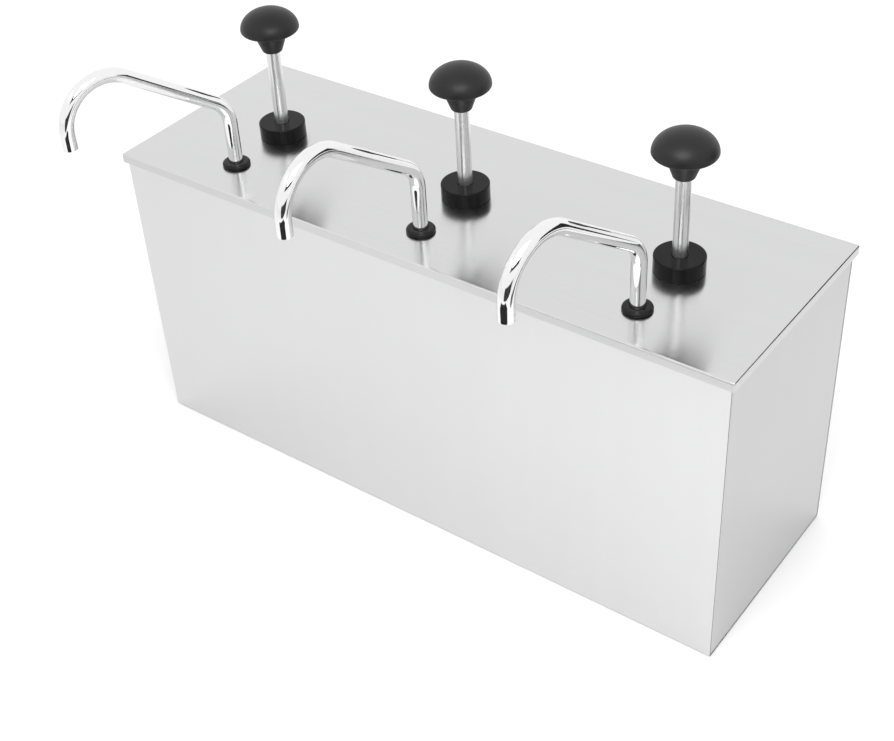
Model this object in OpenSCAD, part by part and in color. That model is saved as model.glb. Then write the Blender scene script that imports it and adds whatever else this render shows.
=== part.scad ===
// Countertop condiment dispenser: a stainless cabinet with a lift-off lid that carries three hand pumps.
// Millimetres, +Z up, front towards -Y. The origin is the centre of the base, on the counter.

/* [Cabinet and lid] */
// Length of the lid, end to end
lid_l = 590; // [580:1:620]
// Depth of the lid, front to back
lid_w = 200; // [196:1:220]
// Height of the lid's top face above the counter
lid_top = 280; // [278:1:300]
// Height of the flange folded down round the lid
lid_flange = 8; // [6:1:12]
// How far the lid stands out beyond the cabinet's walls
overhang = 3.2; // [2.5:0.1:5]
// Thickness of the lid and cabinet sheet
sheet = 1; // [0.8:0.1:1.2]
// Outer radius of the folds
fold_r = 2; // [1.6:0.1:3]
// Width of the hem round the cabinet's mouth
hem = 6; // [4:1:8]
// Depth of the flanges on the end panels
end_flange = 8; // [6:1:12]

/* [Containers] */
// Distance between the centres of neighbouring containers
container_pitch = 190; // [188.5:0.5:190]
// Outside length of a container's walls
container_l = 178; // [170:1:178]
// Outside depth of a container's walls
container_w = 170; // [160:1:170]
// Height of a container
container_h = 262; // [240:1:266]
// Wall thickness of a container
container_wall = 0.8; // [0.6:0.1:1.2]
// Width of the rim turned out round a container
rim_w = 5; // [3:0.5:5]

/* [Pumps] */
// Distance between the centres of neighbouring pumps
pump_pitch = 196; // [190:1:198]
// Diameter of the plunger rod
rod_d = 12; // [10:0.5:12]
// Travel of the plunger
stroke = 55; // [40:1:56]
// Inside diameter of the pump cylinder
bore_d = 27; // [26:0.5:28]
// Wall thickness of the pump cylinder
bore_wall = 1.5; // [1:0.1:2]
// Diameter of the lock collar
collar_d = 40; // [38:1:44]
// Height of the lock collar
collar_h = 13; // [11:1:16]
// Diameter of the knob
knob_d = 49.2; // [44:0.2:56]
// Height of the foot of the knob's neck above the lid, with the plunger up
knob_z = 79.5; // [76:0.5:90]

/* [Spouts] */
// Outside diameter of the spout tube
tube_d = 12; // [10:0.5:12]
// Wall thickness of the spout tube
tube_wall = 1; // [0.8:0.1:1.2]
// Distance from a pump's axis forward to its spout's riser
riser_y = 60.5; // [58:0.5:66]
// Height of the straight riser above the lid
riser_h = 40; // [20:1:60]
// Bend radius at the foot of the arm
bend_foot = 28; // [20:1:40]
// Slope of the arm above the level
arm_slope = 34.5; // [20:0.5:45]
// Straight length of the arm
arm_l = 89; // [60:1:110]
// Bend radius over the nozzle
bend_top = 36; // [24:1:45]
// Straight length of the nozzle below the bend
nozzle_l = 12; // [4:1:30]
// Resting headings of the three spouts, from straight ahead, positive towards +X
headings = [-14.3, -2.6, -6.2];

/* [Hidden] */
SIDES = ["left", "mid", "right"];
CABINET_PARTS = ["body_wrap", "end_panel_left", "end_panel_right"];
PUMP_PARTS = [
    "container", "collar", "lid_gasket", "pump_cylinder", "rod_guide", "valve_block", "suction_tube",
    "tube_grommet", "swivel_oring", "return_spring", "knob", "plunger_rod", "piston", "piston_seal",
    "piston_nut", "spout_tube", "inlet_ball", "outlet_ball"
];

$fn = 64;
FIT = 0.05;    // radial clearance of a running or assembled fit
CUT = 1;       // how far a cutter runs past the face it opens

// Cabinet
body_l = lid_l - 2 * overhang;
body_w = lid_w - 2 * overhang;
body_h = lid_top - sheet;
inner_fold = fold_r - sheet;

// Pump heights, downwards from the lid
lid_under = lid_top - sheet;
gasket_t = 1;
flange_t = 2.5;
flange_r = 19;
neck_r = 12.8;
neck_top = lid_top + 8;
neck_bore = 11;
guide_flange = 4;
bore_top = lid_under - gasket_t - flange_t - 5.5;
bore_r = bore_d / 2;
barrel_r = bore_r + bore_wall;
piston_top = bore_top - guide_flange - 2;
piston_h = 18;
piston_r = bore_r - FIT;
seal_h = 5;
seal_depth = 2.2;
nut_h = 6;
nut_r = 7.5;
stud_r = 4;
pressed_spring = 33;
barrel_foot = piston_top - piston_h - stroke - pressed_spring;

// Valve block
cup_r = barrel_r + 4;
cup_top = barrel_foot + 12;
block_foot = 128;
seat_z = 138;
chamber_r = 6.5;
chamber_top = 152;
cage_r = 4.5;
ball_r = 5.5;
ball_gap = 0.2;
inlet_seat_r = 4;
arm_w = 16;
arm_foot = 137;
arm_top = 153;
duct_r = 3;
duct_z = 145;
outlet_r = 11.5;
outlet_top = 190;
outlet_seat_z = 150;
outlet_seat_r = 3.5;
tube_foot = 165;
oring_z = 176;
oring_h = 4;
oring_r = 8.5;

// Suction tube
suction_foot = 14;
suction_r = 9;
suction_bore = 7;
spigot_r = 8;
slot_w = 6;
slot_h = 5;

// Spring
wire_r = 0.9;
coil_r = 10.5;
turns = 8;
wire_sides = 6;
steps_per_turn = 16;
spring_gap = 0.05;

// Spout sweep: steps in the bends, sides of its section, how far it laps into the riser, how far its
// skins lie inside the riser's
bend_step = 6;
tube_sides = 20;
weld_lap = 1;
sweep_in = 0.02;

// Knob, heights above its neck's foot
neck_foot_r = 8.2;
neck_round = 1.6;
neck_head_r = 15;
underside_z = 18.8;
rim_z = 20.4;
rim_round = 2.4;
dome_h = 16.9;
stud_l = 22;

tube_r = tube_d / 2;
tube_bore = tube_r - tube_wall;
rod_r = rod_d / 2;

function pump_x(i) = (i - 1) * pump_pitch;
function container_x(i) = (i - 1) * container_pitch;

// Rectangle with round corners, centred on x, standing on y = 0
module round_rect(w, h, r) {
    translate([-w / 2, r]) square([w, h - 2 * r]);
    translate([-w / 2 + r, 0]) square([w - 2 * r, h]);
    for (x = [-1, 1], y = [r, h - r]) translate([x * (w / 2 - r), y]) circle(r);
}

// Rectangle with its two upper corners round
module round_top(w, h, r) {
    translate([-w / 2, 0]) square([w, h - r]);
    translate([-w / 2 + r, 0]) square([w - 2 * r, h]);
    for (x = [-1, 1]) translate([x * (w / 2 - r), h - r]) circle(r);
}

// Sheet pan's outer block: all four upper edges folded round
module folded_block(l, w, h, r) {
    intersection() {
        rotate([90, 0, 0]) translate([0, 0, -w / 2]) linear_extrude(w) round_top(l, h, r);
        rotate([90, 0, 90]) translate([0, 0, -l / 2]) linear_extrude(l) round_top(w, h, r);
    }
}

// Section of the cabinet in the YZ plane, run along +X from x = 0
module run_x(length) {
    rotate([90, 0, 90]) linear_extrude(length) children();
}

// Upright block with round vertical corners, centred on x and y
module round_post(l, w, h, r) {
    linear_extrude(h) translate([0, -w / 2]) round_rect(l, w, r);
}

module ring(r_out, r_in, h) {
    difference() {
        cylinder(h = h, r = r_out);
        translate([0, 0, -CUT]) cylinder(h = h + 2 * CUT, r = r_in);
    }
}

// ---- Cabinet ----

module body_wrap() {
    mouth_w = body_w - 2 * hem;
    color("silver")
    translate([-body_l / 2, 0, 0])
    run_x(body_l)
    difference() {
        round_rect(body_w, body_h, fold_r);
        translate([0, sheet]) round_rect(body_w - 2 * sheet, body_h - 2 * sheet, inner_fold);
        translate([-mouth_w / 2, body_h / 2]) square([mouth_w, body_h]);
    }
}

// A flanged pan, closed side at x = 0, that fits inside the wrap
module end_pan() {
    w = body_w - 2 * sheet;
    h = body_h - 2 * sheet;
    difference() {
        translate([0, 0, sheet]) run_x(end_flange) round_rect(w, h, inner_fold);
        translate([sheet, 0, 2 * sheet]) run_x(end_flange) translate([-w / 2 + sheet, 0])
            square([w - 2 * sheet, h - 2 * sheet]);
    }
}

module end_panel_left() {
    color("silver") translate([-body_l / 2, 0, 0]) end_pan();
}

module end_panel_right() {
    color("silver") mirror([1, 0, 0]) translate([-body_l / 2, 0, 0]) end_pan();
}

module container(i) {
    corner = 12;
    wall = container_wall;
    color("gainsboro")
    translate([container_x(i), 0, sheet])
    difference() {
        union() {
            round_post(container_l, container_w, container_h, corner);
            translate([0, 0, container_h - wall])
                round_post(container_l + 2 * rim_w, container_w + 2 * rim_w, wall, corner + rim_w);
        }
        translate([0, 0, wall])
            round_post(container_l - 2 * wall, container_w - 2 * wall, container_h, corner - wall);
    }
}

module lid_sheet() {
    color("silver")
    difference() {
        translate([0, 0, lid_top - lid_flange]) folded_block(lid_l, lid_w, lid_flange, fold_r);
        translate([0, 0, lid_top - lid_flange - CUT])
            folded_block(lid_l - 2 * sheet, lid_w - 2 * sheet, lid_flange - sheet + CUT, inner_fold);
        for (i = [0:2]) {
            translate([pump_x(i), 0, lid_under - CUT]) cylinder(h = sheet + 2 * CUT, r = neck_r + 0.2);
            translate([pump_x(i), -riser_y, lid_under - CUT]) cylinder(h = sheet + 2 * CUT, r = 8.2);
        }
    }
}

// ---- Pump, fixed pieces ----

// Gloss nut on the neck: open below, closed above round the rod
module collar(i) {
    edge = 1.2;
    cap = 3;
    color("black")
    translate([pump_x(i), 0, lid_top])
    difference() {
        rotate_extrude() {
            square([collar_d / 2 - edge, collar_h]);
            square([collar_d / 2, collar_h - edge]);
            translate([collar_d / 2 - edge, collar_h - edge]) circle(edge);
        }
        translate([0, 0, -CUT]) cylinder(h = collar_h - cap + CUT, r = neck_r + FIT);
        cylinder(h = collar_h + CUT, r = rod_r + 0.4);
    }
}

module lid_gasket(i) {
    color("dimgray") translate([pump_x(i), 0, lid_under - gasket_t]) ring(flange_r - 0.5, neck_r + 0.2, gasket_t);
}

module pump_cylinder(i) {
    flange_z = lid_under - gasket_t - flange_t;
    color("gainsboro")
    translate([pump_x(i), 0, 0])
    difference() {
        union() {
            translate([0, 0, barrel_foot]) cylinder(h = flange_z - barrel_foot, r = barrel_r);
            translate([0, 0, flange_z]) cylinder(h = flange_t, r = flange_r);
            translate([0, 0, flange_z]) cylinder(h = neck_top - flange_z, r = neck_r);
        }
        translate([0, 0, barrel_foot - CUT]) cylinder(h = bore_top - barrel_foot + CUT, r = bore_r);
        translate([0, 0, barrel_foot]) cylinder(h = neck_top, r = neck_bore);
    }
}

module rod_guide(i) {
    color("white")
    translate([pump_x(i), 0, bore_top])
    difference() {
        union() {
            cylinder(h = neck_top - bore_top, r = neck_bore - FIT);
            translate([0, 0, -guide_flange]) cylinder(h = guide_flange, r = bore_r - 0.2);
        }
        translate([0, 0, -guide_flange - CUT]) cylinder(h = neck_top, r = rod_r + FIT);
    }
}

// Cup for the barrel, inlet chamber, and an arm out to the spout's socket
module valve_block(i) {
    color("whitesmoke")
    translate([pump_x(i), 0, 0])
    difference() {
        union() {
            translate([0, 0, block_foot]) cylinder(h = cup_top - block_foot, r = cup_r);
            translate([-arm_w / 2, -riser_y, arm_foot]) cube([arm_w, riser_y, arm_top - arm_foot]);
            translate([0, -riser_y, arm_foot]) cylinder(h = outlet_top - arm_foot, r = outlet_r);
        }
        // barrel socket, ball cage, inlet chamber and thread for the suction tube
        translate([0, 0, barrel_foot]) cylinder(h = cup_top, r = barrel_r + FIT);
        translate([0, 0, chamber_top - CUT]) cylinder(h = barrel_foot, r = cage_r);
        translate([0, 0, seat_z]) cylinder(h = chamber_top - seat_z, r = chamber_r);
        translate([0, 0, block_foot - CUT]) cylinder(h = seat_z - block_foot + CUT, r = spigot_r);
        // duct to the outlet, outlet seat, chamber and bearing
        translate([0, 0, duct_z]) rotate([90, 0, 0]) cylinder(h = riser_y, r = duct_r);
        translate([0, -riser_y, duct_z]) cylinder(h = outlet_top, r = outlet_seat_r);
        translate([0, -riser_y, outlet_seat_z]) cylinder(h = tube_foot - outlet_seat_z, r = chamber_r);
        translate([0, -riser_y, outlet_seat_z]) cylinder(h = outlet_top, r = tube_r + FIT);
        translate([0, -riser_y, oring_z]) cylinder(h = oring_h, r = oring_r);
    }
}

// Pick-up tube with a slotted foot; its spigot screws into the block and carries the inlet seat
module suction_tube(i) {
    color("gainsboro")
    translate([pump_x(i), 0, 0])
    difference() {
        union() {
            translate([0, 0, suction_foot]) cylinder(h = block_foot - suction_foot, r = suction_r);
            translate([0, 0, block_foot]) cylinder(h = seat_z - block_foot, r = spigot_r - FIT);
        }
        translate([0, 0, suction_foot - CUT]) cylinder(h = seat_z - suction_foot - 5, r = suction_bore);
        translate([0, 0, suction_foot]) cylinder(h = seat_z, r = inlet_seat_r);
        for (turn = [0, 90]) translate([0, 0, suction_foot]) rotate([0, 0, turn])
            cube([2 * suction_r + CUT, slot_w, 2 * slot_h], center = true);
    }
}

// Rubber ring snapped into the lid: round bead above, flat lip below
module tube_grommet(i) {
    bead_r = 2.2;
    bead_at = 9.6;
    lip_r = 10.4;
    lip_h = 2.5;
    color("black")
    translate([pump_x(i), -riser_y, 0])
    rotate_extrude()
    difference() {
        union() {
            translate([0, lid_top]) square([bead_at, 4]);
            intersection() {
                translate([bead_at, lid_top + 2]) circle(bead_r);
                translate([0, lid_top]) square([bead_at + bead_r, 5]);
            }
            translate([0, lid_under - lip_h]) square([8.1, sheet + lip_h + CUT]);
            translate([0, lid_under - lip_h]) square([lip_r, lip_h]);
        }
        square([tube_r + FIT, lid_top + 10]);
    }
}

module swivel_oring(i) {
    color("dimgray") translate([pump_x(i), -riser_y, oring_z + 0.5]) ring(oring_r, tube_r + FIT, oring_h - 1);
}

function spring_len() = piston_top - piston_h - barrel_foot;
function spring_lift(u) =
    let (
        first = wire_r + spring_gap,
        last = spring_len() - wire_r - spring_gap,
        dead = 2.1 * wire_r
    )
    u < 1 ? first + u * dead
    : u > turns - 1 ? last - (turns - u) * dead
    : first + dead + (last - first - 2 * dead) * (u - 1) / (turns - 2);

module return_spring(i) {
    rings = turns * steps_per_turn;
    points = [
        for (k = [0:rings], s = [0:wire_sides - 1])
            let (
                a = 360 * k / steps_per_turn,
                b = 360 * (s + 0.5) / wire_sides,
                r = coil_r + wire_r * cos(b)
            )
            [r * cos(a), r * sin(a), spring_lift(k / steps_per_turn) + wire_r * sin(b)]
    ];
    sides = [
        for (k = [0:rings - 1], s = [0:wire_sides - 1])
            let (a = k * wire_sides + s, b = k * wire_sides + (s + 1) % wire_sides)
            [a, b, b + wire_sides, a + wire_sides]
    ];
    start_cap = [for (s = [wire_sides - 1:-1:0]) s];
    end_cap = [for (s = [0:wire_sides - 1]) rings * wire_sides + s];
    color("lightgray")
    translate([pump_x(i), 0, barrel_foot])
    polyhedron(points, concat([start_cap], sides, [end_cap]));
}

// ---- Pump, moving pieces ----

// Mushroom knob: flared neck, flat underside, rolled rim and a low dome, with a blind hole for the
// rod's stud
module knob(i) {
    r = knob_d / 2;
    steps = 10;
    foot = [
        for (k = [0:steps])
            let (a = 90 * k / steps)
            [neck_foot_r - neck_round + neck_round * sin(a), neck_round * (1 - cos(a))]
    ];
    rim = [
        for (k = [0:steps])
            let (a = 90 * k / steps)
            [r - rim_round + rim_round * sin(a), rim_z - (rim_z - underside_z) * cos(a)]
    ];
    dome = [
        for (k = [1:2 * steps])
            let (a = 90 * k / (2 * steps))
            [r * cos(a), rim_z + dome_h * sin(a)]
    ];
    color([0.12, 0.12, 0.12])
    translate([pump_x(i), 0, lid_top + knob_z])
    difference() {
        rotate_extrude() polygon(concat([[0, 0]], foot, [[neck_head_r, underside_z]], rim, dome));
        translate([0, 0, -CUT]) cylinder(h = stud_l + 2 + CUT, r = stud_r + FIT);
    }
}

module plunger_rod(i) {
    stud_foot = piston_top - piston_h - nut_h - 2;
    neck_foot = lid_top + knob_z;
    color("silver")
    translate([pump_x(i), 0, 0]) {
        translate([0, 0, stud_foot]) cylinder(h = neck_foot + stud_l - stud_foot, r = stud_r);
        translate([0, 0, piston_top]) cylinder(h = neck_foot - piston_top, r = rod_r);
    }
}

module piston(i) {
    color("white")
    translate([pump_x(i), 0, piston_top - piston_h])
    difference() {
        cylinder(h = piston_h, r = piston_r);
        translate([0, 0, -CUT]) cylinder(h = piston_h + 2 * CUT, r = stud_r + FIT);
        translate([0, 0, (piston_h - seal_h) / 2]) ring(piston_r + CUT, piston_r - seal_depth, seal_h);
    }
}

module piston_seal(i) {
    color("dimgray")
    translate([pump_x(i), 0, piston_top - (piston_h + seal_h) / 2])
    ring(piston_r, piston_r - seal_depth, seal_h);
}

module piston_nut(i) {
    color("silver")
    translate([pump_x(i), 0, piston_top - piston_h - nut_h])
    difference() {
        cylinder(h = nut_h, r = nut_r, $fn = 6);
        translate([0, 0, -CUT]) cylinder(h = nut_h + 2 * CUT, r = stud_r + FIT);
    }
}

// Centreline above the lid as [reach, height, slope of travel]: up, over the foot bend, along the arm,
// over the top bend and down the nozzle
function spout_route() =
    let (
        bend_z = lid_top + riser_h,
        foot_s = bend_foot * (1 - sin(arm_slope)),
        foot_z = bend_z + bend_foot * cos(arm_slope),
        over_s = foot_s + arm_l * cos(arm_slope) + bend_top * sin(arm_slope),
        over_z = foot_z + arm_l * sin(arm_slope) - bend_top * cos(arm_slope),
        foot_steps = ceil((90 - arm_slope) / bend_step),
        top_steps = ceil((90 + arm_slope) / bend_step)
    )
    concat(
        [[0, bend_z - weld_lap, 90]],
        [
            for (k = [0:foot_steps])
                let (t = 90 - (90 - arm_slope) * k / foot_steps)
                [bend_foot * (1 - sin(t)), bend_z + bend_foot * cos(t), t]
        ],
        [
            for (k = [0:top_steps])
                let (t = arm_slope - (90 + arm_slope) * k / top_steps)
                [over_s - bend_top * sin(t), over_z + bend_top * cos(t), t]
        ],
        [[over_s + bend_top, over_z - nozzle_l, -90]]
    );

// Rings of points round the route, heading +X
function tube_rings(route, r) = [
    for (p = route, k = [0:tube_sides - 1])
        let (b = 360 * k / tube_sides)
        [p[0] - r * cos(b) * sin(p[2]), r * sin(b), p[1] + r * cos(b) * cos(p[2])]
];

// Quads between neighbouring rings, the first point numbered start
function tube_quads(rings, start) = [
    for (j = [0:rings - 2], k = [0:tube_sides - 1])
        let (a = start + j * tube_sides + k, b = start + j * tube_sides + (k + 1) % tube_sides)
        [a, b, b + tube_sides, a + tube_sides]
];

// Ring-shaped end between an outer and an inner ring of points
function tube_end(outer, inner) = [
    for (k = [0:tube_sides - 1])
        let (next = (k + 1) % tube_sides)
        [outer + k, inner + k, inner + next, outer + next]
];

function reversed(faces) = [for (f = faces) [f[3], f[2], f[1], f[0]]];

// The bent part of the tube, a sweep that laps into the riser's wall
module spout_bend() {
    route = spout_route();
    rings = len(route);
    inner = rings * tube_sides;
    last = (rings - 1) * tube_sides;
    outer_skin = tube_rings(route, tube_r - sweep_in);
    inner_skin = tube_rings(route, (tube_bore + sweep_in) / cos(180 / tube_sides));
    faces = concat(
        tube_quads(rings, 0),
        reversed(tube_quads(rings, inner)),
        tube_end(0, inner),
        reversed(tube_end(last, inner + last))
    );
    polyhedron(concat(outer_skin, inner_skin), faces);
}

module spout_tube(i) {
    color("silver")
    translate([pump_x(i), -riser_y, 0])
    rotate([0, 0, headings[i] - 90]) {
        translate([0, 0, tube_foot]) ring(tube_r, tube_bore, lid_top + riser_h - tube_foot);
        spout_bend();
    }
}

// Balls rest on the edge of their seats
function seat_height(seat_r) = sqrt(ball_r * ball_r - seat_r * seat_r) + ball_gap;

module inlet_ball(i) {
    color("silver") translate([pump_x(i), 0, seat_z + seat_height(inlet_seat_r)]) sphere(ball_r);
}

module outlet_ball(i) {
    color("silver")
    translate([pump_x(i), -riser_y, outlet_seat_z + seat_height(outlet_seat_r)])
    sphere(ball_r);
}

body_wrap();
end_panel_left();
end_panel_right();
lid_sheet();
for (i = [0:2]) {
    container(i);
    collar(i);
    lid_gasket(i);
    pump_cylinder(i);
    rod_guide(i);
    valve_block(i);
    suction_tube(i);
    tube_grommet(i);
    swivel_oring(i);
    return_spring(i);
    knob(i);
    plunger_rod(i);
    piston(i);
    piston_seal(i);
    piston_nut(i);
    spout_tube(i);
    inlet_ball(i);
    outlet_ball(i);
}
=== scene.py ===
import math

import bmesh
import bpy
from mathutils import Matrix, Vector


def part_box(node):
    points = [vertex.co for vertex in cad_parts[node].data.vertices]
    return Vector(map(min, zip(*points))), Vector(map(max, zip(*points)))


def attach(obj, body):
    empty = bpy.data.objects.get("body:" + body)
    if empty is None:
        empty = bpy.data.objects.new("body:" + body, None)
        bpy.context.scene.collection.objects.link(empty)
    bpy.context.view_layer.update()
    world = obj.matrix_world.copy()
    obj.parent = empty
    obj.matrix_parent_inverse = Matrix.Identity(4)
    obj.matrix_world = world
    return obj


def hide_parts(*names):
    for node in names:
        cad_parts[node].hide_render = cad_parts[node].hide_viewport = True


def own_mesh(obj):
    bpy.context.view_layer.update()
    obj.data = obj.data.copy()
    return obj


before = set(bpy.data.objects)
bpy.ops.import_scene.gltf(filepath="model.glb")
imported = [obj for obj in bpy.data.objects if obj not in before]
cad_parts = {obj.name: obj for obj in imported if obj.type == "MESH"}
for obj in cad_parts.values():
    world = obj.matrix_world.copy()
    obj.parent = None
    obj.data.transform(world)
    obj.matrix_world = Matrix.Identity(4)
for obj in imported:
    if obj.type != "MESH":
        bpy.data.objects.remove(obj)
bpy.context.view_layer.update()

SIDES = ("left", "mid", "right")
MM = 0.001

# Sheet metal: thickness, outside radii of the folds, and the softening of cut edges
SHEET = 1.0 * MM
FOLD = 2.0 * MM
LID_FOLD = 1.6 * MM
CUT_EDGE = 0.22 * MM
HEM = 6.0 * MM
END_FLANGE = 8.0 * MM
END_CORNER = 1.0 * MM
PUMP_HOLE_R = 13.0 * MM
TUBE_HOLE_R = 8.2 * MM

# Sauce containers: drawn pans with a hooked rim
PAN_WALL = 0.8 * MM
PAN_CORNER = 12.0 * MM
PAN_HEEL = 6.0 * MM
PAN_RIM = 5.0 * MM
PAN_HOOK = 2.4 * MM
PAN_FLOOR_REACH = 20.0 * MM

# Plunger rod and the stud at each of its ends
ROD_R = 6.0 * MM
STUD_R = 4.0 * MM
SHOULDER_IN_KNOB = 0.5 * MM

# Lock collar: bore round the rod, and the counterbore that takes the pump's neck
COLLAR_BORE_R = 6.4 * MM
COLLAR_NECK_R = 12.85 * MM
COLLAR_CAP = 3.0 * MM

# Tube grommet: bore, groove in the lid's hole, and the lip under the lid
GROMMET_PLAY = 0.05 * MM
GROMMET_CROWN_R = 7.8 * MM
GROMMET_GROOVE_R = 8.15 * MM
GROMMET_LIP_R = 10.4 * MM
GROMMET_LIP_FOOT_R = 10.2 * MM

# Mushroom knob: socket and neck radii, and heights above its foot
KNOB_SOCKET_R = 6.2 * MM
KNOB_SOCKET_EDGE_R = 6.5 * MM
KNOB_NECK_FOOT_R = 8.2 * MM
KNOB_NECK_WAIST_R = 11.4 * MM
KNOB_NECK_HEAD_R = 14.6 * MM
KNOB_SOCKET_Z = 0.6 * MM
KNOB_WAIST_Z = 8.5 * MM
KNOB_UNDERSIDE_Z = 18.8 * MM
KNOB_RIM_Z = 20.4 * MM
KNOB_WAIST_ROUND = 30.0 * MM
KNOB_DOME_STEPS = 30

# Bent tube, as in the CAD: straight riser above the lid, foot bend, arm, top bend, nozzle
TUBE_R = 6.0 * MM
TUBE_WALL = 1.0 * MM
TUBE_LIP = 0.3 * MM
TUBE_SIDES = 56
RISER_ABOVE_LID = 40.0 * MM
FOOT_BEND = 28.0 * MM
ARM_SLOPE = math.radians(34.5)
ARM_LENGTH = 89.0 * MM
TOP_BEND = 36.0 * MM
NOZZLE = 12.0 * MM
FOOT_BEND_STEPS = 18
ARM_STEPS = 6
TOP_BEND_STEPS = 34
HEADINGS = {"left": math.radians(-14.3), "mid": math.radians(-2.6), "right": math.radians(-6.2)}

# Return spring: wire radius and sides, coil radius, turns, steps a turn, and the rise of each closed end
# coil
WIRE_R = 0.9 * MM
WIRE_SIDES = 12
COIL_R = 10.5 * MM
TURNS = 8
STEPS_A_TURN = 40
DEAD_COIL = 2.1 * WIRE_R

# Camera
CAMERA_PLACE = (0.63578, -0.83754, 0.92534)
CAMERA_AZIMUTH = math.radians(38.525)
CAMERA_ELEVATION = math.radians(38.058)
CAMERA_ROLL = math.radians(-3.652)
LENS = 60.99
SENSOR = 36.0

# Studio: world strength, floor, soft boxes (place, aim, width, height, watts) and dark flags
WORLD_STRENGTH = 1.15
FLOOR_REACH = 12.0
FLOOR_DARK = (0.90, 0.90, 0.90)
FLOOR_LIGHT = (0.93, 0.93, 0.93)
SOFT_BOXES = {
    "key": ((0.34, -0.5, 0.95), (0.2, -0.3, 0), 0.5, 0.5, 4.4),
    "rim": ((-0.82, -1.05, 1.4), (0, -0.1, 0.25), 1.3, 0.35, 0.4),
}
# Upright flags: start and end on the floor plan, foot and top height, grey
UPRIGHT_FLAGS = {
    "flag_behind_camera": ((0.2, -1.25), (1.35, -0.75), 0.0, 0.42, 0.04),
    "flag_above_camera": ((0.2, -1.25), (1.35, -0.75), 0.95, 1.4, 0.02),
    "flag_back_right": ((0.40, 0.3), (1.25, 0.3), 0.24, 0.52, 0.02),
}
# Flags on the floor: low and high corner, grey
FLOOR_FLAGS = {
    "flag_floor_front": ((-0.2, -0.95), (0.6, -0.54), 0.02),
    "flag_floor_right": ((0.72, -0.3), (1.0, 0.5), 0.12),
}
FLAG_LIFT = 2 * MM

# Mesh tools: lengths that count as nothing, the least corner radius, angles that count as an edge,
# and how far a face's normal may turn and still count as facing along an axis or across it
TINY = 1e-7
WELD = 1e-6
LEAST_CORNER = 0.03 * MM
SHARP_ANGLE = math.radians(32)
BEVEL_ANGLE = math.radians(50)
FLAT_WEIGHT = 90
FACING = 0.9
EDGE_ON = 0.3
HOLE_SIDES = 64
KNOB_SIDES = 128

LID_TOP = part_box("lid_sheet")[1].z
LID_UNDER = LID_TOP - SHEET


# ---------------------------------------------------------------- mesh tools


def rounded(corners, closed=False, steps=6):
    """Corner points (x, y) or (x, y, radius), each corner turned into an arc of its radius."""
    points = []
    count = len(corners)
    for i, corner in enumerate(corners):
        here = Vector(corner[:2])
        radius = corner[2] if len(corner) > 2 else 0.0
        at_end = not closed and i in (0, count - 1)
        if radius <= 0 or at_end:
            points.append(here)
            continue
        to_last = (Vector(corners[i - 1][:2]) - here).normalized()
        to_next = (Vector(corners[(i + 1) % count][:2]) - here).normalized()
        half = to_last.angle(to_next) / 2
        middle = here + (to_last + to_next).normalized() * (radius / math.sin(half))
        start = here + to_last * (radius / math.tan(half)) - middle
        end = here + to_next * (radius / math.tan(half)) - middle
        turn = start.angle_signed(end)
        for k in range(steps + 1):
            arm = start.copy()
            arm.rotate(Matrix.Rotation(-turn * k / steps, 2))
            points.append(middle + arm)
    return points


def lathe(profile, centre, closed=False, segments=96):
    """Points and faces of (radius, height) points turned about the upright axis through centre."""
    verts, rows, faces = [], [], []
    for radius, height in profile:
        if radius < TINY:
            rows.append([len(verts)] * segments)
            verts.append((centre[0], centre[1], height))
            continue
        rows.append(range(len(verts), len(verts) + segments))
        for k in range(segments):
            a = math.tau * k / segments
            verts.append((centre[0] + radius * math.cos(a), centre[1] + radius * math.sin(a), height))
    pairs = list(zip(rows, rows[1:])) + ([(rows[-1], rows[0])] if closed else [])
    for low, high in pairs:
        for k in range(segments):
            n = (k + 1) % segments
            face = dict.fromkeys((low[k], low[n], high[n], high[k]))
            if len(face) > 2:
                faces.append(tuple(face))
    return verts, faces


def rect_loop(half_x, half_y, corner, height, steps):
    """One rounded rectangle of points at a height."""
    loop = []
    for quarter, (sx, sy) in enumerate(((1, 1), (-1, 1), (-1, -1), (1, -1))):
        for k in range(steps + 1):
            a = math.pi / 2 * (quarter + k / steps)
            x = sx * (half_x - corner) + corner * math.cos(a)
            y = sy * (half_y - corner) + corner * math.sin(a)
            loop.append((x, y, height))
    return loop


def rect_shell(profile, half_x, half_y, corner, steps=8):
    """A closed shell: (offset, height) points carried round a rounded rectangle, flat at both ends."""
    verts, faces = [], []
    per_loop = 4 * (steps + 1)
    for offset, height in profile:
        radius = max(corner + offset, LEAST_CORNER)
        verts += rect_loop(half_x + offset, half_y + offset, radius, height, steps)
    for j in range(len(profile) - 1):
        for k in range(per_loop):
            n = (k + 1) % per_loop
            a, b = j * per_loop, (j + 1) * per_loop
            faces.append((a + k, a + n, b + n, b + k))
    faces.append(tuple(range(per_loop)))
    faces.append(tuple(range(len(verts) - per_loop, len(verts))))
    return verts, faces


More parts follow.
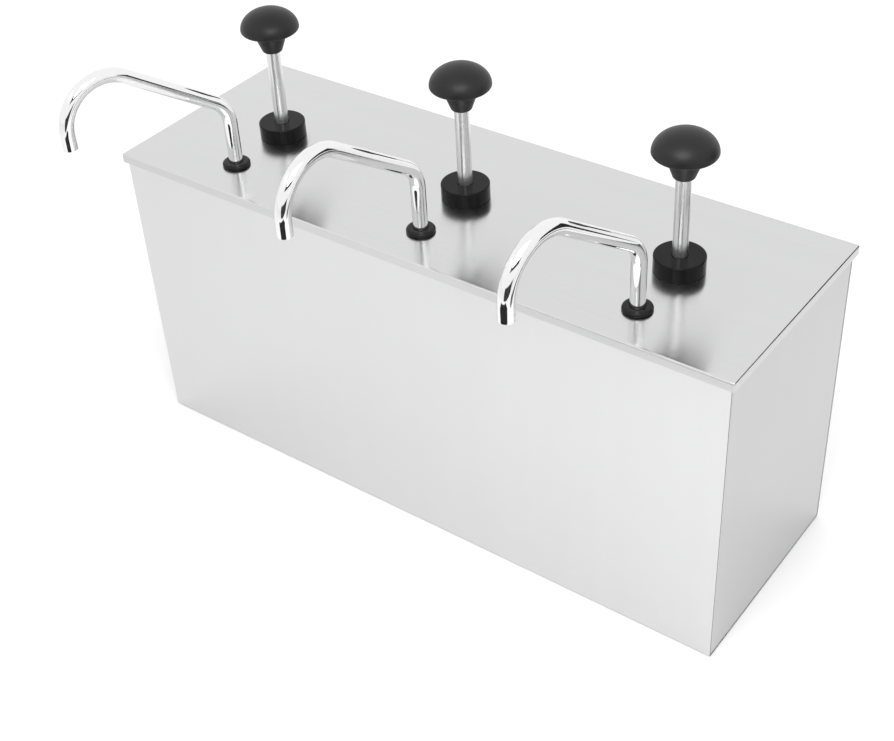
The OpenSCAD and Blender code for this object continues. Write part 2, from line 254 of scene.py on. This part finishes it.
def tube(path, normals, radius, sides, inner=0.0, lip=0.0):
    """A round tube along path, hollow when inner is given, its ends rounded by lip."""
    tangents = []
    for j in range(len(path)):
        low, high = path[max(j - 1, 0)], path[min(j + 1, len(path) - 1)]
        tangents.append((high - low).normalized())
    verts, faces, rings = [], [], []

    def ring(j, r, along=0.0):
        side = tangents[j].cross(normals[j]).normalized()
        up = side.cross(tangents[j])
        rings.append(len(verts))
        for k in range(sides):
            a = math.tau * k / sides
            verts.append(path[j] + tangents[j] * along + up * (r * math.cos(a)) + side * (r * math.sin(a)))

    last = len(path) - 1
    arc = [math.pi / 8 * k for k in range(5)]
    if lip:
        for a in arc:
            ring(0, radius - lip * (1 - math.sin(a)), lip * (1 - math.cos(a)))
    for j in range(1 if lip else 0, last if lip else last + 1):
        ring(j, radius)
    if lip:
        for a in reversed(arc):
            ring(last, radius - lip * (1 - math.sin(a)), -lip * (1 - math.cos(a)))
    if inner:
        if lip:
            for a in arc:
                ring(last, inner + lip * (1 - math.sin(a)), -lip * (1 - math.cos(a)))
        for j in range(last - 1 if lip else last, 0 if lip else -1, -1):
            ring(j, inner)
        if lip:
            for a in reversed(arc):
                ring(0, inner + lip * (1 - math.sin(a)), lip * (1 - math.cos(a)))
    pairs = list(zip(rings, rings[1:])) + ([(rings[-1], rings[0])] if inner else [])
    for a, b in pairs:
        for k in range(sides):
            n = (k + 1) % sides
            faces.append((a + k, a + n, b + n, b + k))
    if not inner:
        faces.append(tuple(range(sides)))
        faces.append(tuple(range(rings[-1], rings[-1] + sides)))
    return verts, faces


def new_object(name, shape, place=None):
    """An object in the scene from (points, faces), moved by the matrix place, its normals outward."""
    verts, faces = shape
    mesh = bpy.data.meshes.new(name)
    mesh.from_pydata([tuple(v) for v in verts], [], faces)
    if place is not None:
        mesh.transform(place)
    work = bmesh.new()
    work.from_mesh(mesh)
    bmesh.ops.remove_doubles(work, verts=work.verts, dist=TINY)
    bmesh.ops.recalc_face_normals(work, faces=work.faces)
    work.to_mesh(mesh)
    work.free()
    obj = bpy.data.objects.new(name, mesh)
    bpy.context.scene.collection.objects.link(obj)
    return obj


def smooth(obj):
    """Smooth shading with sharp edges kept, and wide flat faces kept flat."""
    for face in obj.data.polygons:
        face.use_smooth = True
    obj.data.set_sharp_from_angle(angle=SHARP_ANGLE)
    flats = obj.modifiers.new("flat_faces", "WEIGHTED_NORMAL")
    flats.keep_sharp = True
    flats.weight = FLAT_WEIGHT


def bevel(obj, width):
    """Softens an object's sharp edges."""
    edge = obj.modifiers.new("edges", "BEVEL")
    edge.width = width
    edge.segments = 2
    edge.limit_method = "ANGLE"
    edge.angle_limit = BEVEL_ANGLE
    edge.harden_normals = False


def hand_over(obj, body, node):
    """Shades an object and lets it stand for a CAD node on the body that carries it."""
    smooth(obj)
    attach(obj, body)
    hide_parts(node)


def piece(name, shape, material, body, node, place=None):
    """A piece of one material that stands for a CAD node."""
    obj = new_object(name, shape, place)
    obj.data.materials.append(material)
    hand_over(obj, body, node)
    return obj


def second_material(obj, material, chosen):
    """Gives another material to the faces whose normal passes the test chosen."""
    obj.data.materials.append(material)
    for face in obj.data.polygons:
        if chosen(face.normal):
            face.material_index = 1


def cut(obj, cutter_shape):
    """Cuts a shape out of obj's mesh for good."""
    cutter = new_object("cutter", cutter_shape)
    tool = obj.modifiers.new("cut", "BOOLEAN")
    tool.object = cutter
    tool.solver = "EXACT"
    bpy.context.view_layer.update()
    result = obj.evaluated_get(bpy.context.evaluated_depsgraph_get())
    made = bpy.data.meshes.new_from_object(result)
    obj.modifiers.clear()
    obj.data = made
    bpy.data.objects.remove(cutter)


# ---------------------------------------------------------------- materials


class Graph:
    """Short calls for building a material's nodes."""

    def __init__(self, name):
        self.material = bpy.data.materials.new(name)
        self.material.use_nodes = True
        self.tree = self.material.node_tree
        self.shader = self.tree.nodes["Principled BSDF"]
        self.place = self.add("ShaderNodeTexCoord").outputs["Object"]

    def add(self, kind, **values):
        """A node with its sockets or settings filled in by name."""
        node = self.tree.nodes.new(kind)
        for key, value in values.items():
            if key in node.inputs:
                node.inputs[key].default_value = value
            else:
                setattr(node, key, value)
        return node

    def link(self, a, b):
        """Joins an output to an input."""
        self.tree.links.new(a, b)

    def noise(self, scale, stretch=(1, 1, 1), detail=3.0, roughness=0.5):
        """Noise in the object's own space; a small stretch number draws it out along that axis."""
        mapping = self.add("ShaderNodeMapping")
        mapping.inputs["Scale"].default_value = stretch
        self.link(self.place, mapping.inputs["Vector"])
        node = self.add("ShaderNodeTexNoise", Scale=scale, Detail=detail, Roughness=roughness)
        self.link(mapping.outputs["Vector"], node.inputs["Vector"])
        return node.outputs["Fac"]

    def spread(self, value, low, high, start=0.3, stop=0.7):
        """A value from start to stop, carried over to low to high."""
        node = self.add("ShaderNodeMapRange", clamp=True)
        for key, number in (("From Min", start), ("From Max", stop), ("To Min", low), ("To Max", high)):
            node.inputs[key].default_value = number
        self.link(value, node.inputs["Value"])
        return node.outputs["Result"]

    def math(self, kind, a, b):
        """Two values, each a number or a socket, added, multiplied or the like."""
        node = self.add("ShaderNodeMath", operation=kind)
        for socket, value in zip(node.inputs, (a, b)):
            if isinstance(value, (int, float)):
                socket.default_value = value
            else:
                self.link(value, socket)
        return node.outputs[0]

    def shade(self, amount, dark, light):
        """A colour between dark and light."""
        node = self.add("ShaderNodeMix", data_type="RGBA")
        factor, first, second, result = node.inputs[0], node.inputs[6], node.inputs[7], node.outputs[2]
        first.default_value = (*dark, 1)
        second.default_value = (*light, 1)
        self.link(amount, factor)
        return result

    def bump(self, height, distance, strength=1.0, after=None):
        """Surface relief of a depth, laid over an earlier one."""
        node = self.add("ShaderNodeBump", Strength=strength, Distance=distance)
        self.link(height, node.inputs["Height"])
        if after is not None:
            self.link(after, node.inputs["Normal"])
        return node.outputs["Normal"]

    def smear_along(self, x, y, z):
        """Stretches the shader's reflections along a direction, laid into each face."""
        way = self.add("ShaderNodeCombineXYZ")
        for socket, value in zip(way.inputs, (x, y, z)):
            socket.default_value = value
        self.link(way.outputs[0], self.shader.inputs["Tangent"])

    def set(self, **values):
        """Fills the shader's sockets with numbers, colours or links."""
        for key, value in values.items():
            name = key.replace("_", " ")
            if isinstance(value, (int, float, tuple)):
                self.shader.inputs[name].default_value = value
            else:
                self.link(value, self.shader.inputs[name])


def grey(value):
    """Steel's grey, a trace cooler than neutral."""
    return (value, value, value * 1.004)


# Brushed grain: how far it is drawn out along its run, and how much it and broad clouds change roughness
GRAIN_DRAW = 0.006
GRAIN_SWING = 0.007
CLOUD_SWING = 0.01


def brushed(name, run, across, dark, light, rough, smear=0.35):
    """Brushed sheet: lines run along the axis run, and reflections smear along the direction across."""
    g = Graph(name)
    lines = [1.0, 1.0, 1.0]
    lines["xyz".index(run)] = GRAIN_DRAW
    fine = g.noise(1900, lines, detail=2)
    broad = g.noise(300, lines, detail=3, roughness=0.6)
    wide = g.noise(70, lines, detail=2)
    clouds = g.noise(9, detail=3)
    grain = g.math("ADD", g.math("MULTIPLY", fine, 0.1), g.math("MULTIPLY", broad, 0.9))
    tone = g.math("ADD", g.math("MULTIPLY", grain, 0.6), g.math("MULTIPLY", wide, 0.4))
    streaks = g.spread(broad, rough - GRAIN_SWING, rough + GRAIN_SWING)
    g.set(
        Base_Color=g.shade(g.spread(tone, 0.0, 1.0, 0.36, 0.64), grey(dark), grey(light)),
        Metallic=1.0,
        Roughness=g.math("ADD", streaks, g.spread(clouds, -CLOUD_SWING, CLOUD_SWING)),
        Anisotropic=smear,
        Normal=g.bump(broad, 0.0005 * MM, after=g.bump(clouds, 0.1 * MM, 0.4)),
    )
    g.smear_along(*across)
    return g.material


def polished(name, base, rough):
    """Polished tube: near mirror, with faint drawn lines and haze."""
    g = Graph(name)
    haze = g.noise(160, detail=4, roughness=0.6)
    marks = g.noise(900, (1, 1, 0.03), detail=2)
    g.set(
        Base_Color=g.shade(g.spread(haze, 0, 1), grey(base * 0.96), grey(base)),
        Metallic=1.0,
        Roughness=g.math("ADD", g.spread(haze, rough * 0.8, rough * 1.3), g.spread(marks, 0, 0.02)),
        Normal=g.bump(marks, 0.002 * MM),
    )
    return g.material


def turned(name, base, rough):
    """Machined or drawn steel with fine rings round an upright axis."""
    g = Graph(name)
    rings = g.noise(1500, (0.02, 0.02, 1), detail=2)
    bands = g.noise(240, (0.03, 0.03, 1), detail=3)
    haze = g.noise(60, detail=3)
    g.set(
        Base_Color=g.shade(g.spread(bands, 0, 1), grey(base * 0.9), grey(base)),
        Metallic=1.0,
        Roughness=g.math("ADD", g.spread(rings, rough - 0.03, rough + 0.03), g.spread(haze, -0.02, 0.02)),
        Normal=g.bump(rings, 0.006 * MM),
    )
    return g.material


def moulded(name, dark, light, rough, grain_scale, grain_depth, shine=0.5):
    """Moulded plastic or rubber: even colour, fine grain, flow marks, and edges rubbed a little lighter."""
    g = Graph(name)
    grain = g.noise(grain_scale, detail=2)
    flow = g.noise(28, (1, 1, 2.5), detail=4)
    rub = g.spread(g.add("ShaderNodeNewGeometry").outputs["Pointiness"], 0, 1, 0.5, 0.56)
    tone = g.math("ADD", g.spread(flow, 0, 0.7), g.math("MULTIPLY", rub, 0.3))
    g.set(
        Base_Color=g.shade(tone, dark, light),
        Roughness=g.math("ADD", g.spread(grain, rough - 0.04, rough + 0.04), g.spread(flow, -0.03, 0.03)),
        Specular_IOR_Level=shine,
        Normal=g.bump(grain, grain_depth, after=g.bump(flow, 0.03 * MM, 0.4)),
    )
    return g.material


def ground(name, base, rough):
    """Centreless-ground rod: fine rings round it, so reflections smear along its length."""
    g = Graph(name)
    rings = g.noise(2400, (0.05, 0.05, 1), detail=2)
    haze = g.noise(90, (1, 1, 0.4), detail=4)
    g.set(
        Base_Color=g.shade(g.spread(haze, 0, 1), grey(base * 0.95), grey(base)),
        Metallic=1.0,
        Roughness=g.math("ADD", g.spread(rings, rough - 0.02, rough + 0.02), g.spread(haze, -0.01, 0.015)),
        Anisotropic=0.9,
        Normal=g.bump(rings, 0.001 * MM),
    )
    g.smear_along(0.03, 0.03, 1.0)
    return g.material


# Smear directions are tilted off the axes, so that no flat face points straight along one
ALONG_X = (1, 0.03, 0.03)
ALONG_Y = (0.03, 1, 0.03)
LID_SMEAR = (0.03, 1, 0.3)
PAN_SMEAR = (1, 0.7, 0.03)

# Each steel keeps to one side of a roughness of 0.27, because one that crosses it renders blotchy
SHEET_STEEL = brushed("brushed_sheet_upright", "z", ALONG_X, dark=0.620, light=0.632, rough=0.248)
LID_STEEL = brushed("brushed_lid", "x", LID_SMEAR, dark=0.600, light=0.612, rough=0.19, smear=0.8)
# The lid's flange is the same sheet as its top; its darker base colour is painted shade
FLANGE_SHADED_STEEL = brushed("brushed_lid_flange_painted_shade", "x", LID_SMEAR, dark=0.54, light=0.56, rough=0.24, smear=0.5)
# The end panels are the same steel as the front, painted darker: painted shade on the sides
END_SHADED_STEEL = brushed("brushed_sheet_end_painted_shade", "z", ALONG_Y, dark=0.488, light=0.500, rough=0.248)
# Cut edges of the wrap, coloured near black: painted shade of the seams at the corners and painted contact
# shadow along the bottom
SEAM_SHADE_STEEL = brushed("sheared_edge_painted_shade", "x", ALONG_Y, dark=0.10, light=0.16, rough=0.42)
PAN_STEEL = brushed("satin_container", "z", PAN_SMEAR, dark=0.52, light=0.6, rough=0.34)
TURNED_STEEL = turned("turned_steel", base=0.72, rough=0.34)
SPRING_STEEL = turned("spring_wire", base=0.55, rough=0.34)
BRIGHT_STEEL = polished("polished_steel", base=0.80, rough=0.06)
ROD_STEEL = ground("ground_rod", base=0.74, rough=0.2)
KNOB_BLACK = moulded(
    "knob_black", (0.006, 0.006, 0.006), (0.012, 0.012, 0.012), rough=0.42,
    grain_scale=2600, grain_depth=0.014 * MM, shine=0.30,
)
COLLAR_BLACK = moulded(
    "collar_black", (0.005, 0.005, 0.005), (0.009, 0.009, 0.010), rough=0.15,
    grain_scale=900, grain_depth=0.003 * MM, shine=0.1,
)
RUBBER_BLACK = moulded(
    "grommet_rubber", (0.006, 0.006, 0.006), (0.011, 0.011, 0.012), rough=0.26,
    grain_scale=1700, grain_depth=0.008 * MM, shine=0.16,
)
SEAL_BLACK = moulded(
    "seal_rubber", (0.022, 0.022, 0.023), (0.04, 0.04, 0.042), rough=0.5,
    grain_scale=1400, grain_depth=0.012 * MM,
)
ACETAL = moulded(
    "acetal_white", (0.50, 0.50, 0.48), (0.58, 0.58, 0.56), rough=0.38,
    grain_scale=1100, grain_depth=0.008 * MM,
)


# ---------------------------------------------------------------- cabinet


def axis_of(node):
    """Middle of a CAD node's box, for parts turned about an upright axis."""
    low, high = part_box(node)
    return (low + high) / 2


def build_wrap():
    """One strip folded round the front, floor and back, with hems at its top edges."""
    low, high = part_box("body_wrap")
    out, mouth, top = high.y, high.y - HEM, high.z
    inner, under, fold_in = out - SHEET, top - SHEET, FOLD - SHEET
    outside = rounded(
        [(-mouth, top), (-out, top, FOLD), (-out, 0, FOLD), (out, 0, FOLD), (out, top, FOLD), (mouth, top)]
    )
    inside = rounded(
        [
            (-mouth, under), (-inner, under, fold_in), (-inner, SHEET, fold_in),
            (inner, SHEET, fold_in), (inner, under, fold_in), (mouth, under),
        ]
    )
    count = len(outside)
    verts = [(x, y, z) for x in (low.x, high.x) for y, z in outside + inside]
    faces = []
    for k in range(count - 1):
        for start in (0, count):
            a, b = start + k, start + k + 1
            faces.append((a, b, 2 * count + b, 2 * count + a))
        for end in (0, 2 * count):
            faces.append((end + k, end + k + 1, end + count + k + 1, end + count + k))
    for k in (0, count - 1):
        faces.append((k, count + k, 3 * count + k, 2 * count + k))
    obj = new_object("cabinet_wrap", (verts, faces))
    bevel(obj, CUT_EDGE)
    obj.data.materials.append(SHEET_STEEL)
    # The wrap's cut end edges get the near-black steel: painted seam shade
    second_material(obj, SEAM_SHADE_STEEL, lambda normal: abs(normal.x) > FACING)
    hand_over(obj, "housing", "body_wrap")


def pan_profile(depth, wall, fold):
    """Outline of a shallow pan's edge: closed face at height 0, wall down to -depth."""
    reach = 3 * fold
    return rounded(
        [
            (-reach, 0), (0, 0, fold), (0, -depth, CUT_EDGE), (-wall, -depth, CUT_EDGE),
            (-wall, -wall, fold - wall), (-reach, -wall),
        ]
    )


def build_end_panel(side, facing):
    """Flanged pan that closes one end; facing is the sign of its outward x."""
    node = "end_panel_" + side
    low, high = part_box(node)
    middle = (low + high) / 2
    half_y = (high.y - low.y) / 2
    half_z = (high.z - low.z) / 2
    face_x = high.x if facing > 0 else low.x
    turn = Matrix.Rotation(facing * math.pi / 2, 4, "Y")
    place = Matrix.Translation((face_x, 0, middle.z)) @ turn
    shape = rect_shell(pan_profile(END_FLANGE, SHEET, FOLD), half_z, half_y, END_CORNER, steps=4)
    # Its darker steel is painted shade
    piece("cabinet_end_" + side, shape, END_SHADED_STEEL, "housing", node, place=place)


def build_container(side):
    """Drawn pan: inside of floor and wall, over the hooked rim, and back down the outside."""
    name = "container_" + side
    low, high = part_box(name)
    middle = (low + high) / 2
    half_x = (high.x - low.x) / 2 - PAN_RIM
    half_y = (high.y - low.y) / 2 - PAN_RIM
    hook_z, under_z, floor_z = high.z - PAN_HOOK, high.z - PAN_WALL, low.z + PAN_WALL
    hook_inner = PAN_RIM - PAN_WALL
    profile = rounded(
        [
            (-PAN_FLOOR_REACH, floor_z), (-PAN_WALL, floor_z, PAN_HEEL), (-PAN_WALL, high.z, 1.8 * MM),
            (PAN_RIM, high.z, 0.9 * MM), (PAN_RIM, hook_z, CUT_EDGE), (hook_inner, hook_z, CUT_EDGE),
            (hook_inner, under_z, 0.3 * MM), (0, under_z, 1.0 * MM), (0, low.z, PAN_HEEL + PAN_WALL),
            (-PAN_FLOOR_REACH, low.z),
        ]
    )
    shape = rect_shell(profile, half_x, half_y, PAN_CORNER, steps=10)
    place = Matrix.Translation((middle.x, middle.y, 0))
    piece("sauce_" + name, shape, PAN_STEEL, "housing", name, place=place)


def build_lid():
    """Folded sheet with a short flange all round and two holes for each pump."""
    low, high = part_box("lid_sheet")
    shape = rect_shell(pan_profile(high.z - low.z, SHEET, LID_FOLD), high.x, high.y, LID_FOLD)
    obj = new_object("lid", shape, Matrix.Translation((0, 0, high.z)))
    above, below = LID_TOP + SHEET, LID_UNDER - SHEET
    for side in SIDES:
        for node, radius in (("pump_cylinder_", PUMP_HOLE_R), ("tube_grommet_", TUBE_HOLE_R)):
            plug = [(0, below), (radius, below), (radius, above), (0, above)]
            cut(obj, lathe(plug, axis_of(node + side), segments=HOLE_SIDES))
    obj.data.materials.append(LID_STEEL)
    # Upright faces of the lid get the darker flange steel: painted shade
    second_material(obj, FLANGE_SHADED_STEEL, lambda normal: abs(normal.z) < EDGE_ON)
    hand_over(obj, "lid", "lid_sheet")


# ---------------------------------------------------------------- pumps


def build_collar(side):
    """Gloss nut on the lid: outside from its foot up, over the top, down the bore and counterbore."""
    node = "collar_" + side
    low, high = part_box(node)
    r = (high.x - low.x) / 2
    top, foot, cap = high.z, low.z, high.z - COLLAR_CAP
    profile = rounded(
        [
            (r - 0.3 * MM, foot, 0.1 * MM), (r, foot + 0.5 * MM, 0.4 * MM), (r, top, 1.1 * MM),
            (COLLAR_BORE_R, top, 0.35 * MM), (COLLAR_BORE_R, cap, 0.2 * MM),
            (COLLAR_NECK_R, cap, 0.3 * MM), (COLLAR_NECK_R, foot, 0.3 * MM),
        ],
        closed=True,
    )
    shape = lathe(profile, axis_of(node), closed=True)
    piece("lock_collar_" + side, shape, COLLAR_BLACK, "lid", node)


def build_grommet(side):
    """Rubber ring: rounded head on the lid, groove in its hole, lip under it."""
    node = "tube_grommet_" + side
    low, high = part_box(node)
    r = (high.x - low.x) / 2
    bore = TUBE_R + GROMMET_PLAY
    top, foot = high.z, low.z
    profile = rounded(
        [
            (bore, top - 1.0 * MM, 0.6 * MM), (GROMMET_CROWN_R, top - 0.6 * MM, 1.0 * MM),
            (r, top - 0.8 * MM, 2.1 * MM), (r, LID_TOP, 1.1 * MM), (GROMMET_GROOVE_R, LID_TOP, 0.1 * MM),
            (GROMMET_GROOVE_R, LID_UNDER, 0.1 * MM), (GROMMET_LIP_R, LID_UNDER, 0.4 * MM),
            (GROMMET_LIP_FOOT_R, foot, 0.7 * MM), (bore, foot, 0.5 * MM),
        ],
        closed=True,
    )
    shape = lathe(profile, axis_of(node), closed=True)
    piece("grommet_" + side, shape, RUBBER_BLACK, "lid", node)


def build_knob(side):
    """Mushroom knob turned from the same heights as the CAD's: socket, neck, underside, rim, dome."""
    node = "knob_" + side
    low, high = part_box(node)
    r = (high.x - low.x) / 2
    foot, top = low.z, high.z
    socket, under, rim = foot + KNOB_SOCKET_Z, foot + KNOB_UNDERSIDE_Z, foot + KNOB_RIM_Z
    dome = top - rim
    profile = [(0.0, socket), (KNOB_SOCKET_R, socket)]
    profile += rounded(
        [
            (KNOB_SOCKET_R, socket), (KNOB_SOCKET_EDGE_R, foot, 0.3 * MM),
            (KNOB_NECK_FOOT_R, foot, 1.5 * MM), (KNOB_NECK_WAIST_R, foot + KNOB_WAIST_Z, KNOB_WAIST_ROUND),
            (KNOB_NECK_HEAD_R, under, 1.8 * MM), (r - 0.9 * MM, under, 1.5 * MM),
            (r, rim, 0.6 * MM), (r - 0.1 * MM, rim + 1.2 * MM),
        ],
        steps=7,
    )[1:-1]
    for k in range(2, KNOB_DOME_STEPS):
        a = math.pi / 2 * k / KNOB_DOME_STEPS
        profile.append((r * math.cos(a), rim + dome * math.sin(a)))
    profile.append((0.0, top))
    shape = lathe(profile, axis_of(node), segments=KNOB_SIDES)
    piece("mushroom_knob_" + side, shape, KNOB_BLACK, "plunger_" + side, node)


def build_rod(side):
    """Ground rod with a stud at each end, from the piston's nut up into the knob."""
    node = "plunger_rod_" + side
    low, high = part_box(node)
    shoulder_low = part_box("piston_" + side)[1].z
    shoulder_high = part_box("knob_" + side)[0].z + SHOULDER_IN_KNOB
    profile = rounded(
        [
            (0, low.z), (STUD_R, low.z, 0.5 * MM), (STUD_R, shoulder_low), (ROD_R, shoulder_low, 0.4 * MM),
            (ROD_R, shoulder_high, 0.4 * MM), (STUD_R, shoulder_high), (STUD_R, high.z, 0.5 * MM),
            (0, high.z),
        ],
        steps=4,
    )
    shape = lathe(profile, axis_of(node))
    piece("rod_" + side, shape, ROD_STEEL, "plunger_" + side, node)


def spout_outline(foot_z):
    """Centreline of a spout in its own bend plane: (reach, height) from its foot to the nozzle."""
    bend_z = LID_TOP + RISER_ABOVE_LID
    points = [(0.0, foot_z), (0.0, foot_z + 1.5 * MM), (0.0, LID_TOP), (0.0, bend_z - 1 * MM)]
    for k in range(FOOT_BEND_STEPS + 1):
        t = math.pi / 2 - (math.pi / 2 - ARM_SLOPE) * k / FOOT_BEND_STEPS
        points.append((FOOT_BEND * (1 - math.sin(t)), bend_z + FOOT_BEND * math.cos(t)))
    s, z = points[-1]
    for k in range(1, ARM_STEPS):
        along = ARM_LENGTH * k / ARM_STEPS
        points.append((s + along * math.cos(ARM_SLOPE), z + along * math.sin(ARM_SLOPE)))
    over_s = s + ARM_LENGTH * math.cos(ARM_SLOPE) + TOP_BEND * math.sin(ARM_SLOPE)
    over_z = z + ARM_LENGTH * math.sin(ARM_SLOPE) - TOP_BEND * math.cos(ARM_SLOPE)
    for k in range(TOP_BEND_STEPS + 1):
        t = ARM_SLOPE - (math.pi / 2 + ARM_SLOPE) * k / TOP_BEND_STEPS
        points.append((over_s - TOP_BEND * math.sin(t), over_z + TOP_BEND * math.cos(t)))
    end_s, end_z = over_s + TOP_BEND, over_z - NOZZLE
    return points + [(end_s, end_z + 1 * MM), (end_s, end_z)]


def build_spout(side):
    """Bent tube from the valve block's socket to the nozzle, turned to its heading at rest."""
    node = "spout_tube_" + side
    riser = axis_of("tube_grommet_" + side)
    heading = HEADINGS[side]
    forward = Vector((math.sin(heading), -math.cos(heading), 0))
    across = Vector((math.cos(heading), math.sin(heading), 0))
    base = Vector((riser.x, riser.y, 0))
    path = [base + forward * reach + Vector((0, 0, z)) for reach, z in spout_outline(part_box(node)[0].z)]
    shape = tube(path, [across] * len(path), TUBE_R, TUBE_SIDES, inner=TUBE_R - TUBE_WALL, lip=TUBE_LIP)
    piece("spout_" + side, shape, BRIGHT_STEEL, "spout_" + side, node)


def build_spring(side):
    """Closed-end compression spring, built once at the length of its CAD node's box."""
    node = "return_spring_" + side
    low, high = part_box(node)
    middle = (low + high) / 2
    first, last = low.z + WIRE_R, high.z - WIRE_R
    rise = (last - first - 2 * DEAD_COIL) / (TURNS - 2)
    path = []
    for k in range(TURNS * STEPS_A_TURN + 1):
        u = k / STEPS_A_TURN
        a = math.tau * u
        if u < 1:
            z = first + u * DEAD_COIL
        elif u > TURNS - 1:
            z = last - (TURNS - u) * DEAD_COIL
        else:
            z = first + DEAD_COIL + (u - 1) * rise
        path.append(Vector((middle.x + COIL_R * math.cos(a), middle.y + COIL_R * math.sin(a), z)))
    shape = tube(path, [Vector((0, 0, 1))] * len(path), WIRE_R, WIRE_SIDES)
    obj = piece("spring_" + side, shape, SPRING_STEEL, "lid", node)
    obj.modifiers.clear()
    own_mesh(obj)


def dress(node, material, width=0.25 * MM):
    """Gives a CAD node its material and softened edges."""
    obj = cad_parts[node]
    obj.data.materials.clear()
    obj.data.materials.append(material)
    weld = obj.modifiers.new("weld", "WELD")
    weld.merge_threshold = WELD
    bevel(obj, width)


def dress_hidden_parts(side):
    """The parts inside a pump, which keep their CAD shapes."""
    dress("lid_gasket_" + side, SEAL_BLACK, 0.15 * MM)
    dress("pump_cylinder_" + side, TURNED_STEEL)
    dress("rod_guide_" + side, ACETAL)
    dress("valve_block_" + side, ACETAL, 0.6 * MM)
    dress("suction_tube_" + side, TURNED_STEEL)
    dress("swivel_oring_" + side, SEAL_BLACK)
    dress("piston_" + side, ACETAL)
    dress("piston_seal_" + side, SEAL_BLACK)
    dress("piston_nut_" + side, TURNED_STEEL)
    dress("inlet_ball_" + side, BRIGHT_STEEL)
    dress("outlet_ball_" + side, BRIGHT_STEEL)


# ---------------------------------------------------------------- studio


def look_matrix(azimuth, elevation, roll):
    """Turn of a camera that looks at the object from an azimuth and elevation, then rolls."""
    flat = math.cos(elevation)
    back = Vector((math.sin(azimuth) * flat, -math.cos(azimuth) * flat, math.sin(elevation)))
    level = Vector((0, 0, 1)).cross(back).normalized()
    upright = back.cross(level)
    right = level * math.cos(roll) + upright * math.sin(roll)
    up = upright * math.cos(roll) - level * math.sin(roll)
    return Matrix((right, up, back)).transposed()


def build_camera():
    """Camera at the photograph's viewing angle."""
    data = bpy.data.cameras.new("view")
    data.sensor_width = SENSOR
    data.lens = LENS
    camera = bpy.data.objects.new("view", data)
    turn = look_matrix(CAMERA_AZIMUTH, CAMERA_ELEVATION, CAMERA_ROLL)
    camera.matrix_world = Matrix.Translation(CAMERA_PLACE) @ turn.to_4x4()
    bpy.context.scene.collection.objects.link(camera)
    bpy.context.scene.camera = camera


def soft_box(name, place, aim, width, height, power):
    """A rectangular light at a place, turned to face aim."""
    data = bpy.data.lights.new(name, "AREA")
    data.shape = "RECTANGLE"
    data.size = width
    data.size_y = height
    data.energy = power
    lamp = bpy.data.objects.new(name, data)
    lamp.location = place
    lamp.rotation_euler = (Vector(aim) - Vector(place)).to_track_quat("-Z", "Y").to_euler()
    bpy.context.scene.collection.objects.link(lamp)


def flag(name, corners, value):
    """A studio flag: a plain dark card that only reflections see."""
    obj = new_object(name, (corners, [(0, 1, 2, 3)]))
    material = bpy.data.materials.new(name)
    material.use_nodes = True
    shader = material.node_tree.nodes["Principled BSDF"]
    shader.inputs["Base Color"].default_value = (value, value, value, 1)
    shader.inputs["Roughness"].default_value = 1.0
    shader.inputs["Specular IOR Level"].default_value = 0.0
    obj.data.materials.append(material)
    obj.visible_camera = False
    obj.visible_diffuse = False
    obj.visible_shadow = False


def rectangle(low, high, z):
    """Corners of a level rectangle."""
    return [(low[0], low[1], z), (high[0], low[1], z), (high[0], high[1], z), (low[0], high[1], z)]


def build_world():
    """Even white light from all round, and colours shown as they are."""
    world = bpy.data.worlds.new("studio")
    world.use_nodes = True
    background = world.node_tree.nodes["Background"]
    background.inputs["Color"].default_value = (1, 1, 1, 1)
    background.inputs["Strength"].default_value = WORLD_STRENGTH
    bpy.context.scene.world = world
    bpy.context.scene.view_settings.view_transform = "Standard"


def build_floor():
    """Pale floor that runs far past the picture's edges."""
    corners = rectangle((-FLOOR_REACH, -FLOOR_REACH), (FLOOR_REACH, FLOOR_REACH), 0)
    floor = new_object("floor", (corners, [(0, 1, 2, 3)]))
    g = Graph("floor_white")
    g.set(Base_Color=g.shade(g.noise(2.0), FLOOR_DARK, FLOOR_LIGHT), Roughness=0.9)
    floor.data.materials.append(g.material)


def build_studio():
    """Pale floor, white world, two soft boxes, and flags that draw dark lines in the polished parts."""
    build_world()
    build_floor()
    for name, (place, aim, width, height, power) in SOFT_BOXES.items():
        soft_box(name, place, aim, width, height, power)
    for name, (start, end, foot, top, value) in UPRIGHT_FLAGS.items():
        flag(name, [(*start, foot), (*end, foot), (*end, top), (*start, top)], value)
    for name, (low, high, value) in FLOOR_FLAGS.items():
        flag(name, rectangle(low, high, FLAG_LIFT), value)


build_camera()
build_wrap()
build_end_panel("left", -1)
build_end_panel("right", 1)
build_lid()
for side in SIDES:
    build_container(side)
    build_collar(side)
    build_grommet(side)
    build_knob(side)
    build_rod(side)
    build_spout(side)
    build_spring(side)
    dress_hidden_parts(side)
build_studio()
